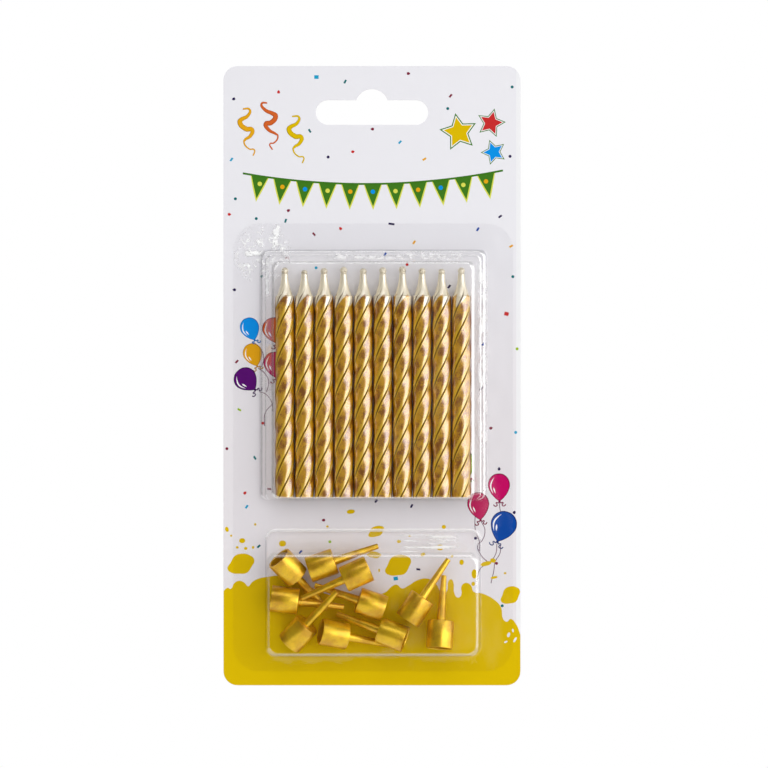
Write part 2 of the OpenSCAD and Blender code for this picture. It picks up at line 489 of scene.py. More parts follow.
print("candles")
waxFinish = makeWaxFinish()
wickFinish = makeWickFinish()
candleMaster = makeCandle()
smooth(candleMaster, 32)
for number, ribTurn in enumerate(candle["ribTurns"]):
    body = "candle_%02d" % (number + 1)
    centre = Vector((candle["firstX"] + candle["spacing"] * number, candle["axisY"], candle["footZ"]))
    twist = Matrix.Rotation(math.radians(ribTurn * 360 / ribs), 4, "Z")
    wax = placeCopy(candleMaster, "waxCandle_%02d" % (number + 1), Matrix.Translation(centre) @ twist)
    finishPiece(wax, body, waxFinish, [body])
    rod = makeWick(number)
    rod.name = rod.data.name = "coatedWick_%02d" % (number + 1)
    rod.data.transform(Matrix.Translation(centre * mm))
    finishPiece(rod, body, wickFinish, ["wick_%02d" % (number + 1)])
bpy.data.objects.remove(candleMaster)


# holders: a thin-walled cup on a tapered spike

holder = {
    "cupRadius": 3.7,
    "cupLength": 7.8,
    "wall": 0.6,
    "floor": 1.0,
    "chamfer": 0.3,
    "spikeLength": 12.9,
    "spikeRootRadius": 1.2,
    "spikeTipRadius": 0.75,
    "pocketLeft": -29.2,
    "pocketBottom": -152.6,
    "fullLength": 20.72,
    "turns": [-48, 19, 204, -7, 161, 48, -12, 160, 56, 86],
    "tilts": [15.5, 0, 0, 0, -3, -14, 12.5, 9, 2, 11.5],
    "mouthX": [0.15, 0.55, 1.37, 0.04, 1.575, 0.29, 0.715, 1.86, 1.89, 2.32],
    "mouthZ": [1.31, 1.14, 1.17, 0.755, 0.61, 0.145, 0.31, 0.2, 0.46, 0.08],
    "baseHeights": [1.19, 1.16, 1.865, 1.055, 1.16, 1.555, 1.055, 1.35, 1.245, 1.07],
    "boxSlack": 0.3,
    "deepGold": (210, 158, 0),
    "paleGold": (238, 194, 12),
}


def makeHolder():
    h = holder
    outer, length, chamfer, root = h["cupRadius"], h["cupLength"], h["chamfer"], h["spikeRootRadius"]
    inner, depth = outer - h["wall"], length - h["floor"]
    tip, tipRadius = length + h["spikeLength"], h["spikeTipRadius"]
    piece = startCircle(64, inner, depth)
    # inner wall from the floor to the mouth, round the rim and down the outside to the spike's tip
    rows = [(0.2, inner), (0, inner + 0.12), (0, outer - 0.14), (0.04, outer - 0.04), (0.16, outer),
            (length * 0.5, outer), (length - chamfer, outer),
            (length - chamfer * 0.35, outer - chamfer * 0.3), (length, outer - chamfer),
            (length, root + 0.3), (length + 0.08, root + 0.08), (length + 0.3, root),
            (tip - 0.3, tipRadius + 0.02), (tip - 0.06, tipRadius - 0.05), (tip, tipRadius - 0.22)]
    pick(piece, "EDGE", lambda place: True)
    z, radius = depth, inner
    for nextZ, nextRadius in rows:
        bpy.ops.mesh.extrude_edges_move(TRANSFORM_OT_translate={"value": (0, 0, (nextZ - z) * mm)})
        share = nextRadius / radius
        widen(share)
        z, radius = nextZ, nextRadius
    bpy.ops.mesh.edge_face_add()
    closePiece()
    cleanMesh(piece)
    smooth(piece, 25)
    return piece


def makeHolderFinish():
    f = Finish("satinGoldPlastic")
    place = f.place()
    cloud = f.noise(place, 0.28, 2)
    grain = f.noise(place, 9.0, 2, 0.6)
    gold = f.mixColour(f.ramp(cloud, 0.35, 0.65), holder["deepGold"], holder["paleGold"])
    normal = f.bump(grain * 0.25 + cloud, 0.12, 0.5)
    rough = f.ramp(grain, 0.3, 0.7, 0.24, 0.34)
    shader = f.add("ShaderNodeBsdfPrincipled", sockets={
        "Base Color": gold, "Roughness": rough, "Metallic": 0.6, "Normal": normal,
        "Specular Tint": (0.85, 0.5, 0.12, 1), "Coat Weight": 0.5, "Coat Roughness": 0.3, "Coat IOR": 1.8})
    return f.surface(shader)


print("holders")
holderFinish = makeHolderFinish()
holderMaster = makeHolder()
h = holder
for number, (swing, tilt) in enumerate(zip(h["turns"], h["tilts"])):
    rest = h["baseHeights"][number] * h["cupRadius"] + h["cupLength"] * math.sin(math.radians(tilt))
    mouth = Vector((h["pocketLeft"] + h["mouthX"][number] * h["fullLength"], -rest,
                    h["pocketBottom"] + h["mouthZ"][number] * h["fullLength"]))
    spot = (Matrix.Translation(mouth) @ Matrix.Rotation(math.radians(90 - swing), 4, "Y")
            @ Matrix.Rotation(math.radians(-tilt), 4, "X"))
    cup = placeCopy(holderMaster, "cupHolder_%02d" % (number + 1), spot)
    body = "holder_%02d" % (number + 1)
    finishPiece(cup, body, holderFinish, [body])
    low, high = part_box(body)
    own = [v.co for v in cup.data.vertices]
    gap = max(max(abs(min(p[i] for p in own) - low[i]), abs(max(p[i] for p in own) - high[i]))
              for i in range(3))
    if gap > h["boxSlack"] * mm:
        print("holder", number + 1, "is off its CAD box by", round(gap / mm, 3), "mm")
bpy.data.objects.remove(holderMaster)


# the blister: two pockets in one flange, drawn as the sheet's inner face and thickened outwards

blister = {
    "thickness": 0.27,
    "flangeY": -0.03,
    "flange": (-39.2, 39.8, -157.9, -31.4),
    "flangeCorner": 7.5,
    "middleZ": -113.5,
    "clear": (0.998, 0.997, 0.998, 1),
    # painted shade for the sheet along the pockets' feet
    "shaded": (0.91, 0.91, 0.92, 1),
}
upperPocket = {
    "roof": (-27.87, 28.47, -108.83, -42.58),
    "corner": 2.5,
    "depth": 6.15,
    "lean": (2.4, 2.4, 2.4, 0.6),
    "edge": 0.6,
    "foot": 0.45,
    "step": (1.3, 1.3, 1.3, 0),
    "stepHeight": 1.0,
    "stepRound": 0.4,
}
lowerPocket = {
    "roof": (-29.2, 29.8, -152.6, -124.43),
    "corner": 3.5,
    "depth": 10.8,
    "lean": (0.4, 0.4, 6.5, 0.4),
    "edge": 1.0,
    "foot": 0.8,
    "step": (0, 0, 0, 0),
    "stepHeight": 0,
}


# how far each side stands out from the roof's outline at a drop below the roof: left, right, top, bottom
def wallRows(p):
    rows = []
    arc = [math.radians(a) for a in (15, 32, 50, 70, 90)]
    depth, edge, foot = p["depth"], p["edge"], p["foot"]

    def row(drop, out, stepOut=0.0):
        sides = [lean * drop / depth + out + (stepOut if s else 0) for lean, s in zip(p["lean"], p["step"])]
        rows.append((drop, sides))

    for a in arc:
        row(edge * (1 - math.cos(a)), edge * (math.sin(a) - 1))
    if p["stepHeight"]:
        plateau = depth - p["stepHeight"]
        turnIn, width = p["stepRound"], max(p["step"])
        row((edge + plateau - turnIn) / 2, 0)
        row(plateau - turnIn, 0)
        for a in arc:
            row(plateau - turnIn + turnIn * math.sin(a), 0, turnIn * (1 - math.cos(a)))
        row(plateau, 0, width - turnIn)
        for a in arc:
            row(plateau + turnIn * (1 - math.cos(a)), 0, width - turnIn + turnIn * math.sin(a))
        for a in arc[1:]:
            row(depth - foot + foot * math.sin(a), foot * (1 - math.cos(a)), width)
    else:
        for share in (0.33, 0.66, 1):
            row(edge + (depth - foot - edge) * share, 0)
        for a in arc:
            row(depth - foot + foot * math.sin(a), foot * (1 - math.cos(a)))
    return rows


# a flat face that stands on the card, with round corners; left in edit mode with all of it selected
def makeOutline(box, inset, y, corner, segments):
    left, right, bottom, top = box
    bpy.ops.mesh.primitive_plane_add(size=1, rotation=(math.radians(90), 0, 0),
                                     location=((left + right) / 2 * mm, y * mm, (bottom + top) / 2 * mm))
    piece = bpy.context.object
    piece.scale = ((right - left - 2 * inset) * mm, (top - bottom - 2 * inset) * mm, 1)
    bpy.ops.object.transform_apply(location=True, rotation=True, scale=True)
    bpy.ops.object.mode_set(mode="EDIT")
    bpy.ops.mesh.select_all(action="SELECT")
    bpy.ops.mesh.bevel(offset=corner * mm, segments=segments, affect="VERTICES")
    bpy.ops.mesh.select_all(action="SELECT")
    return piece


def makePocket(p):
    left, right, bottom, top = p["roof"]
    edge = p["edge"]
    centre = ((left + right) / 2, (bottom + top) / 2)
    roofY = -p["depth"]
    reach = (p["depth"] + blister["flangeY"]) / p["depth"]
    piece = makeOutline(p["roof"], edge, roofY, p["corner"] - edge, 10)
    bpy.ops.mesh.region_to_loop()
    y = roofY
    before = [-edge] * 4
    for drop, sides in wallRows(p):
        nextY = roofY + drop * reach
        bpy.ops.mesh.extrude_edges_move(TRANSFORM_OT_translate={"value": (0, (nextY - y) * mm, 0)})
        cage = bmesh.from_edit_mesh(piece.data)
        steps = [now - last for now, last in zip(sides, before)]
        for vert in cage.verts:
            if not vert.select:
                continue
            vert.co.x += (-steps[0] if vert.co.x < centre[0] * mm else steps[1]) * mm
            vert.co.z += (steps[2] if vert.co.z > centre[1] * mm else -steps[3]) * mm
        bmesh.update_edit_mesh(piece.data)
        y, before = nextY, sides
    closePiece()
    return piece


def makeBlister():
    b = blister
    upper = makePocket(upperPocket)
    lower = makePocket(lowerPocket)
    rim = makeOutline(b["flange"], 0, b["flangeY"], b["flangeCorner"], 14)
    bpy.ops.mesh.delete(type="ONLY_FACE")
    closePiece()
    selectOnly(rim, upper, lower)
    bpy.ops.object.join()
    openPiece(rim)
    bpy.ops.mesh.select_all(action="DESELECT")
    cage = bmesh.from_edit_mesh(rim.data)

    def onFlange(part):
        return all(abs(v.co.y / mm - b["flangeY"]) < 0.005 for v in part.verts)

    for edge in cage.edges:
        edge.select_set(not edge.link_faces or (edge.is_boundary and onFlange(edge)))
    bmesh.update_edit_mesh(rim.data)
    bpy.ops.mesh.fill(use_beauty=True)
    # the fill also closes the pockets' mouths; what hangs on one pocket alone comes out
    cage = bmesh.from_edit_mesh(rim.data)
    cage.normal_update()
    for face in cage.faces:
        onPocket = all(any(abs(f.normal.y) < 0.999 for f in v.link_faces) for v in face.verts)
        above = [v.co.z / mm > b["middleZ"] for v in face.verts]
        face.select_set(onFlange(face) and onPocket and (all(above) or not any(above)))
    bmesh.update_edit_mesh(rim.data)
    bpy.ops.mesh.delete(type="FACE")
    bpy.ops.mesh.select_all(action="SELECT")
    bpy.ops.mesh.remove_doubles(threshold=1e-6)
    bpy.ops.mesh.normals_make_consistent(inside=False)
    closePiece()
    towards = sum((p.normal.y * p.area for p in rim.data.polygons), 0.0)
    if towards > 0:
        openPiece(rim)
        bpy.ops.mesh.select_all(action="SELECT")
        bpy.ops.mesh.flip_normals()
        closePiece()
    wall = rim.modifiers.new("sheet", "SOLIDIFY")
    wall.thickness = b["thickness"] * mm
    wall.offset = 1
    wall.use_even_offset = True
    selectOnly(rim)
    bpy.ops.object.modifier_apply(modifier=wall.name)
    smooth(rim, 40)
    rim.name = rim.data.name = "clearBlister"
    return rim


def makeSheetFinish():
    f = Finish("clearSheet")
    place = f.place()
    x, y, z = f.axes(place)
    ripple = f.noise(place, 0.12, 1)
    crinkle = f.noise(place, 1.1, 2, 0.6)

    def band(value, middle, outer, inner):
        return f.ramp((value - middle).size(), outer, inner)

    # painted highlights as white glints: squiggles in a crinkled patch at the upper left corner, and streaks
    # along the pocket's top and right walls
    sway = (f.noise(place, 0.5, 2) - 0.5) * 3.2
    runs = (band(x + sway, -26.9, 1.0, 0.4) * band(z, -34.8, 3.4, 2.4)
            + band(z + sway * 0.8, -39.9, 1.0, 0.4) * band(x, -33.2, 3, 2)
            + band(x + sway * 0.5, -29.6, 0.6, 0.3) * band(z, -46.5, 6, 4.5))
    rightWall = band(x, 31.2, 1.6, 0.6) * f.ramp(z, -40, -44) * f.ramp(z, -100, -88)
    topWall = band(z, -40.8, 1.3, 0.4) * f.ramp(x, -14, -8) * f.ramp(x, 28, 22)
    slopeWall = band(z, -121.6, 2.8, 1.8) * f.ramp(x, 6, 11) * f.ramp(x, 25, 21)
    corner = f.ramp(((x + 31) ** 2 + (z + 40) ** 2) / 80, 1.0, 0.2)
    scribble = f.noise(place, 0.55, 2, 0.5)
    lines = band(scribble, 0.5, 0.038, 0.016)
    streak = f.ramp(f.noise(place, 0.6, 3, 0.6, stretch=(0.12, 1, 1.6)), 0.54, 0.6)
    dashes = f.ramp(f.noise(place, 0.5, 2, 0.6, stretch=(1, 1, 0.5)), 0.5, 0.58)
    crinkleAndGlintPatch = corner * f.ramp(f.noise(place, 0.35, 1), 0.42, 0.55)
    broken = f.ramp(f.noise(place, 0.9, 2, 0.6), 0.41, 0.49)
    # painted highlights: the glints and streaks, mixed in as white
    paintedGlints = (lines * crinkleAndGlintPatch * 1.3 + runs * broken * 0.9 + (rightWall + topWall) * dashes * 0.7
             + streak * slopeWall).clamped()
    bend = f.attribute("bend")
    rim = f.attribute("rim")
    below = f.ramp(z, -114, -116)
    # painted highlight: a white line at the foot of the lower pocket's slope
    slopeFootHighlight = rim * f.ramp(z, -121, -119.5) * below
    normal = f.bump(ripple + crinkle * 0.04 + crinkle * crinkleAndGlintPatch * 0.4, 1.2, 0.35)
    # painted shade lines: the sheet is darkened along the pockets' feet, but not at the foot of the lower
    # pocket's slope
    bare = f.add("ShaderNodeBsdfTransparent", sockets={"Color": blister["clear"]})
    shaded = f.add("ShaderNodeBsdfTransparent", sockets={"Color": blister["shaded"]})
    clear = f.mixShader(rim * (1 - slopeFootHighlight), bare, shaded)
    gloss = f.add("ShaderNodeBsdfPrincipled", sockets={
        "Base Color": (1, 1, 1, 1), "Metallic": 1.0, "Roughness": 0.05, "Normal": normal})
    # the same share is thrown back on both faces of the sheet
    grazing = f.add("ShaderNodeLayerWeight", sockets={"Blend": 0.5, "Normal": normal}, output="Facing")
    mirrored = (grazing ** 4 * 0.55 + bend * 0.2) * (1 - below * 0.65) + 0.02
    sheet = f.mixShader(mirrored, clear, gloss)
    # white mixed over the sheet: painted glints and streaks, a little at the bends, and a painted highlight
    # line at the slope's foot
    whiteHazeAndHighlight = f.add("ShaderNodeBsdfPrincipled", sockets={"Base Color": (1, 1, 1, 1), "Roughness": 0.35})
    return f.surface(f.mixShader(paintedGlints * (1 - bend) + bend * 0.05 + slopeFootHighlight * 0.5, sheet, whiteHazeAndHighlight))


# the sheet's rounded bends, where a little white stands partly for forming haze and partly for a painted
# highlight line, and the pockets' feet, which get painted shade lines
def markBends(piece):
    bend = piece.data.attributes.new("bend", "FLOAT", "FACE")
    rim = piece.data.attributes.new("rim", "FLOAT", "FACE")
    for i, face in enumerate(piece.data.polygons):
        slope, out = abs(face.normal.y), -face.center.y / mm
        bend.data[i].value = 1.0 if 0.6 < slope < 0.98 and out > 0.8 else 0.0
        rim.data[i].value = 1.0 if 0.25 < slope < 0.9 and 0.1 < out < 0.8 else 0.0


print("blister")
sheetFinish = makeSheetFinish()
clearBlister = makeBlister()
markBends(clearBlister)
finishPiece(clearBlister, "cover", sheetFinish, ["blister"])


# the card keeps its CAD mesh

card = {
    "headPrint": (231, 230, 235),
    "footPrint": (228, 223, 226),
    "fibre": (240, 240, 242),
    "strip": (238, 238, 240),
    "stripX": 40.6,
    "darkBoard": (214, 211, 204),
    "paleBoard": (228, 226, 220),
}


def makeCardFinish():
    c = card
    f = Finish("printedBoard")
    place = f.place()
    x, y, z = f.axes(place)
    fibre = f.noise(place, 6, 2)
    # the front grows a little darker and warmer towards the foot
    printed = f.mixColour(f.ramp(z, -20, -110), c["headPrint"], c["footPrint"])
    printed = f.mixColour(fibre * 0.3, printed, c["fibre"])
    printed = f.mixColour(f.ramp(x, c["stripX"], c["stripX"] + 0.3), printed, c["strip"])
    board = f.mixColour(f.noise(place, 3, 3), c["darkBoard"], c["paleBoard"])
    front = y < 0.02
    colour = f.mixColour(front, board, printed)
    shader = f.add("ShaderNodeBsdfPrincipled", sockets={
        "Base Color": colour, "Roughness": 0.42, "IOR": 1.3, "Normal": f.bump(fibre, 0.02, 0.2)})
    return f.surface(shader)


print("card")
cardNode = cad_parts["backing_card"]
cardNode.data.materials.clear()
cardNode.data.materials.append(makeCardFinish())


# the print: thin closed layers of ink on the card, one piece for each ink

inks = {
    "sun": (216, 182, 2),
    "sky": (10, 143, 226),
    "skyEdge": (6, 104, 176),
    "amber": (224, 163, 22),
    "amberEdge": (178, 124, 10),
    "plum": (88, 14, 110),
    "plumEdge": (58, 6, 74),
    "orange": (206, 96, 40),
    "pink": (196, 8, 98),
    "pinkEdge": (130, 4, 66),
    "crimson": (190, 40, 94),
    "crimsonEdge": (122, 14, 56),
    "navy": (14, 72, 160),
    "navyEdge": (8, 44, 108),
    "lime": (150, 186, 40),
    "leaf": (62, 118, 30),
    "glow": (214, 216, 84),
    "red": (196, 44, 44),
    "maroon": (124, 34, 58),
    "teal": (16, 104, 108),
    "cyan": (30, 156, 196),
    "night": (44, 30, 76),
    "thread": (122, 92, 108),
    "white": (250, 248, 250),
    "paper": (230, 230, 235),
}
inkShapes = {name: [] for name in inks}
inkLayer = {"base": 0.002, "first": 0.008, "step": 0.006}


def inkFront(layer):
    return inkLayer["first"] + inkLayer["step"] * (layer - 1)


# lays a flat curve down on the card and keeps it for its ink
def layInk(shape, ink, layer, depth):
    selectOnly(shape)
    bpy.ops.object.convert(target="MESH")
    shape = bpy.context.object
    thick = inkFront(layer) + inkLayer["base"]
    middle = (inkFront(layer) - inkLayer["base"]) / 2
    flat = Matrix.Scale(thick * mm / depth, 4, (0, 0, 1))
    stand = Matrix.Translation((0, -middle * mm, 0)) @ Matrix.Rotation(math.radians(90), 4, "X")
    shape.data.transform(stand @ flat)
    inkShapes[ink].append(shape)


# a flat curve through points (x, z) in mm, smooth but at points that have a third value
def inkCurve(spots, dimensions, fine):
    curve = bpy.data.curves.new("ink", "CURVE")
    curve.dimensions = dimensions
    curve.resolution_u = fine
    line = curve.splines.new("BEZIER")
    line.bezier_points.add(len(spots) - 1)
    for point, spot in zip(line.bezier_points, spots):
        point.co = (spot[0] * mm, spot[1] * mm, 0)
        point.handle_left_type = point.handle_right_type = "VECTOR" if len(spot) > 2 else "AUTO"
    shape = bpy.data.objects.new("ink", curve)
    bpy.context.collection.objects.link(shape)
    return shape, curve, line


def inkArea(outline, ink, layer=1, fine=5):
    shape, curve, line = inkCurve(outline, "2D", fine)
    curve.fill_mode = "BOTH"
    curve.extrude = 0.5 * mm
    line.use_cyclic_u = True
    layInk(shape, ink, layer, 1.0 * mm)


# an open stroke, its width tapering by the shares given
def inkStroke(path, width, ink, layer=1, shares=None, fine=6):
    shape, curve, line = inkCurve(path, "3D", fine)
    curve.bevel_depth = width / 2 * mm
    curve.bevel_resolution = 1
    curve.use_fill_caps = True
    for point, share in zip(line.bezier_points, shares or ()):
        point.radius = share
    layInk(shape, ink, layer, width * mm)


# an outline drawn around 0 with a reach of 1, as it lies on the card
def placed(points, x, z, wide, high, degrees):
    a = math.radians(degrees)
    result = []
    for px, pz, *sharp in points:
        right, up = px * wide, pz * high
        result.append((x + right * math.cos(a) - up * math.sin(a), z + right * math.sin(a) + up * math.cos(a),
                       *sharp))
    return result


def makeInkFinish(name, colour):
    f = Finish("ink_" + name)
    grain = f.noise(f.place(), 5.0, 2)
    light = tuple(min(255, c * 1.04 + 2) for c in colour)
    dark = tuple(c * 0.95 for c in colour)
    shade = f.mixColour(grain, dark, light)
    return f.surface(f.add("ShaderNodeBsdfPrincipled",
                           sockets={"Base Color": shade, "Roughness": 0.4, "IOR": 1.1}))


# paint splash over the foot of the card
splashEdge = [
    (-41.92, -135.2, "sharp"), (-40.8, -134.3), (-39.9, -134.6), (-39, -133.1), (-37.5, -132.3),
    (-35.9, -133), (-35, -133.9), (-34, -132.8), (-32, -131.7), (-29.5, -131.2), (-26, -130.9), (-22, -131.8),
    (-17.5, -134), (-12, -136.3), (-6, -137), (0, -136.6), (3.9, -135.5), (5.5, -134), (7, -133.4),
    (8.4, -134.5), (10.1, -133.8), (13, -132.1), (15.8, -131.7), (17.8, -132.8), (20.2, -135.9),
    (21.2, -135.2), (21.6, -132.5), (22.3, -131.9), (22.9, -132.5), (23.3, -136), (24.3, -137.1),
    (25.2, -136.4), (25.3, -133.8), (26.6, -132.9), (28, -133.7), (28.7, -135.4), (31.1, -135.9),
    (34.7, -137.8), (36.5, -139.9), (37.1, -143.2), (38.2, -143.9), (39.1, -143.1), (40.6, -144.4),
    (41.92, -147.6, "sharp"),
]
cardCorner = {"x": 38.0, "z": -157.9, "radius": 3.93}


def cornerArc(x, z, radius, first, last):
    steps = [first + (last - first) * i / 8 for i in range(9)]
    return [(x + radius * math.cos(math.radians(a)), z + radius * math.sin(math.radians(a)), "sharp")
            for a in steps]


def printSplash():
    c = cardCorner
    outline = splashEdge + cornerArc(c["x"], c["z"], c["radius"], 0, -90)
    outline += cornerArc(-c["x"], c["z"], c["radius"], -90, -180)
    inkArea(outline, "sun", 1, 4)
    blob = [(0, 1), (0.75, 0.72), (1, 0), (0.7, -0.75), (0, -1), (-0.74, -0.7), (-1, 0), (-0.7, 0.72)]
    lemon = [(0, 0.98), (0.72, 0.86), (1.12, 0.45), (0.92, -0.2), (0.5, -0.82), (-0.1, -0.92), (-0.8, -0.85),
             (-1.15, -0.5), (-0.9, 0.1), (-0.55, 0.75)]
    # x, z, half width, half height, turn
    lemons = [(-37, -127.6, 3.3, 3.0, -2), (7.4, -128, 3.3, 3.0, 4), (1.2, -118.4, 2.1, 1.5, 12),
              (39.1, -136.4, 2.5, 2.5, 6), (0.6, -125, 1.8, 0.95, -14)]
    drops = [(-25.3, -121.8, 1, 0.85, 0), (-36.7, -121, 0.85, 0.7, 0), (-38.1, -122.9, 0.4, 0.35, 0),
             (-35.7, -123.2, 0.5, 0.4, 0), (-33.6, -122.9, 0.35, 0.4, 0), (-41, -117.8, 0.5, 0.75, 20),
             (-6, -112.8, 1.15, 0.6, 5), (19.2, -122.9, 0.95, 0.8, 0), (7.6, -121.2, 0.6, 0.45, 0),
             (14.4, -124.9, 0.7, 0.5, 20), (25.3, -127.1, 0.6, 0.75, 0), (28.9, -130.4, 0.75, 1.3, 0),
             (28.6, -133.2, 0.5, 0.6, 0), (32.2, -127.5, 1.6, 0.6, 14), (34.2, -126.6, 0.8, 0.6, -20),
             (34.5, -131.4, 1, 0.35, 10), (20.3, -117.1, 0.6, 0.55, 0), (-33, -116.4, 0.3, 0.35, 0),
             (-12.6, -117, 0.35, 0.3, 0), (2, -129.4, 0.25, 0.5, 0), (10.6, -119.6, 0.3, 0.3, 0),
             (37.6, -130.2, 0.35, 0.3, 0), (-39.8, -119.6, 0.3, 0.3, 0), (22.6, -125.4, 0.35, 0.4, 0)]
    specks = [(38.6, -147.6, 0.4, 0.7, -20), (39.8, -146.4, 0.25, 0.5, 10), (40.4, -149, 0.3, 0.8, -30),
              (37.8, -149.6, 0.5, 0.25, 20)]
    for spot in lemons:
        inkArea(placed(lemon, *spot), "sun", 1)
    for spot in drops:
        inkArea(placed(blob, *spot), "sun", 1, 3)
    for spot in specks:
        inkArea(placed(blob, *spot), "paper", 2, 3)


drop = [(0, 1), (0.62, 0.83), (0.99, 0.28), (0.86, -0.26), (0.42, -0.76), (0.07, -1.0, "sharp"),
        (-0.07, -1.0, "sharp"), (-0.42, -0.76), (-0.86, -0.26), (-0.99, 0.28), (-0.62, 0.83)]
longShine = [(-0.4, 0.74, "sharp"), (-0.68, 0.46), (-0.82, 0.1), (-0.72, -0.22), (-0.52, -0.48, "sharp"),
             (-0.64, -0.2), (-0.7, 0.1), (-0.6, 0.42)]
shortShine = [(-0.5, 0.02, "sharp"), (-0.52, -0.16), (-0.36, -0.44, "sharp"), (-0.38, -0.18)]
tie = [(-0.07, -0.97, "sharp"), (0.07, -0.97, "sharp"), (0.15, -1.13, "sharp"), (-0.15, -1.13, "sharp")]

# x, z, half width, half height, turn, ink and its edge's ink; one that others overlap comes before them
balloons = [
    (-27.6, -61.6, 3.3, 3.7, 12, "orange", "crimsonEdge"),
    (-27.4, -71.3, 3.2, 3.7, 6, "crimson", "crimsonEdge"),
    (-34.4, -61.2, 2.7, 3.3, 22, "sky", "skyEdge"),
    (-33.6, -68.5, 2.7, 3.3, 20, "amber", "amberEdge"),
    (-35.5, -75.6, 3.3, 3.6, 42, "plum", "plumEdge"),
    (26.6, -99.3, 2.3, 3.9, 10, "lime", "leaf"),
    (35.9, -105.9, 3.1, 3.9, 2, "pink", "pinkEdge"),
    (30.1, -111.2, 3.1, 3.9, 8, "crimson", "crimsonEdge"),
    (37.0, -117.0, 3.7, 4.4, -20, "navy", "navyEdge"),
]
overlapped = (0, 1, 3, 5, 7)
curl = [(0, 0), (-0.22, 0.05), (-0.12, -0.14), (-0.34, -0.2), (-0.46, -0.08)]
threads = [
    [(-32.2, -72.2), (-30.4, -73.6), (-29.2, -76), (-29.8, -79)],
    [(-33.4, -65), (-31.6, -66.5), (-30.6, -69.5), (-31.2, -72)],
    [(-31.9, -78.9), (-30, -79.6), (-28.3, -82), (-28, -84.5)],
    [(-28.2, -82.4), (-30.2, -85), (-30.4, -88.6)],
    [(36, -110.2), (36.1, -111.6), (36.3, -112.8)],
    [(30.9, -115.6), (31.9, -118), (31.1, -121), (29.9, -122.2), (30.9, -125.2), (32.9, -127.2)],
    [(26.6, -104.2), (27, -108), (28.9, -112), (29.2, -118), (30.4, -121.6), (30.3, -124)],
    [(35.3, -121.8), (35, -124.6), (33.4, -127), (30.6, -128.9), (29.6, -132.6)],
    [(36.3, -122.2), (36.2, -124.4), (34.8, -127), (34.4, -129.6), (33.6, -133)],
]


def printBalloons():
    for i, (x, z, wide, high, degrees, ink, edge) in enumerate(balloons):
        base = 1 if i in overlapped else 2
        spot = (x, z, wide, high, degrees)
        inkArea(placed(drop, *spot), edge, base)
        inkArea(placed(drop, x - wide * 0.01, z - high * 0.01, wide * 0.93, high * 0.94, degrees),
                ink, base + 1)
        inkArea(placed(tie, *spot), edge, base)
        inkArea(placed(longShine, *spot), "white", base + 2, 4)
        inkArea(placed(shortShine, *spot), "white", base + 2, 3)
        for side in (-1, 1):
            ends = [(side * (0.1 - right), up - 1.16) for right, up in curl]
            inkStroke(placed(ends, *spot), 0.3, edge, base, fine=3)
    for path in threads:
        inkStroke(path, 0.22, "thread", 1)


# x, z, ink, shape, turn
confetti = [
    (-15.7, 10, "cyan", "square", 0), (-7.6, 8.7, "teal", "dash", 60), (10.3, 11, "maroon", "leaf", 0),
    (-26.4, 5.8, "red", "leaf", 90), (-39.1, 3.8, "night", "leaf", 200), (22.2, 4.7, "maroon", "dash", 50),
    (39.6, 7.2, "teal", "dot", 0), (21.4, 1.1, "teal", "dot", 0), (-17.6, -5.2, "teal", "dash", 120),
    (0.1, -4.7, "maroon", "leaf", 180), (7.9, -8.4, "cyan", "dash", 45), (-5.4, -11.1, "red", "leaf", 10),
    (-39.7, -13.3, "cyan", "dash", 50), (-12.4, -12.6, "night", "dot", 0), (39, -12.4, "night", "dot", 0),
    (34.6, -3.6, "night", "dash", 60), (14.8, -13.2, "amber", "dash", 30), (-38.6, -24.4, "teal", "dot", 0),
    (36.2, -29.4, "night", "dash", 35), (-40.3, -28.8, "red", "leaf", 0), (-32.7, -30, "teal", "dot", 0),
    (-24.4, -30.6, "teal", "dash", 70), (-23.6, -27.7, "maroon", "leaf", 30),
    (-16.4, -34.4, "maroon", "dash", -50), (-8.9, -32.8, "red", "leaf", 130),
    (5.5, -31.5, "night", "long", -8), (29.9, -33, "navy", "dash", 55),
    (11.9, -36.7, "amber", "dash", 55), (39.3, -37.8, "amber", "dash", 30), (3.7, -40.1, "navy", "dash", 60),
    (-24, -41.1, "maroon", "dash", 0), (-15.8, -43.9, "cyan", "dot", 0), (9.9, -42.9, "red", "leaf", 100),
    (21.8, -49.2, "night", "dash", 50), (39.8, -46.4, "teal", "dot", 0), (38, -56.9, "red", "square", -15),
    (-38.9, -50.1, "night", "leaf", 170), (-31.2, -46.3, "teal", "dot", 0), (31.5, -65.4, "navy", "dash", 50),
    (-38.2, -70.4, "maroon", "dash", 45), (-37.5, -84, "lime", "dash", -30), (30.8, -78, "night", "dash", 50),
    (-30.9, -87.8, "red", "dot", 0), (-33.1, -97.6, "teal", "dash", -60), (33.6, -89.2, "maroon", "leaf", 20),
    (-35.9, -107.5, "red", "leaf", 40), (-35.4, -111.4, "cyan", "dash", 55), (41, -66.8, "lime", "dot", 0),
    (-29, -106.4, "maroon", "dash", -10), (-32, -122.6, "teal", "dash", 40),
    (-20.2, -124.2, "navy", "dash", 50), (-13.7, -115.2, "maroon", "leaf", 190),
    (1.2, -109.8, "night", "dash", 50), (11.2, -111.2, "night", "dash", 60),
    (13.1, -129.1, "night", "dash", -10), (6.7, -131.7, "cyan", "square", 8),
    (29.3, -120.3, "night", "leaf", 0), (35.2, -127.4, "maroon", "dot", 0),
    (36.8, -139.4, "teal", "dot", 0), (-11.9, -121.3, "lime", "dot", 0),
    (35.9, -100.7, "night", "leaf", 90), (28.2, -103.6, "maroon", "dot", 0),
    (40.2, -113, "night", "leaf", 60), (-41, -95, "maroon", "dot", 0),
    (-9.6, -103, "lime", "dot", 0), (40.6, -90.4, "cyan", "dot", 0),
]
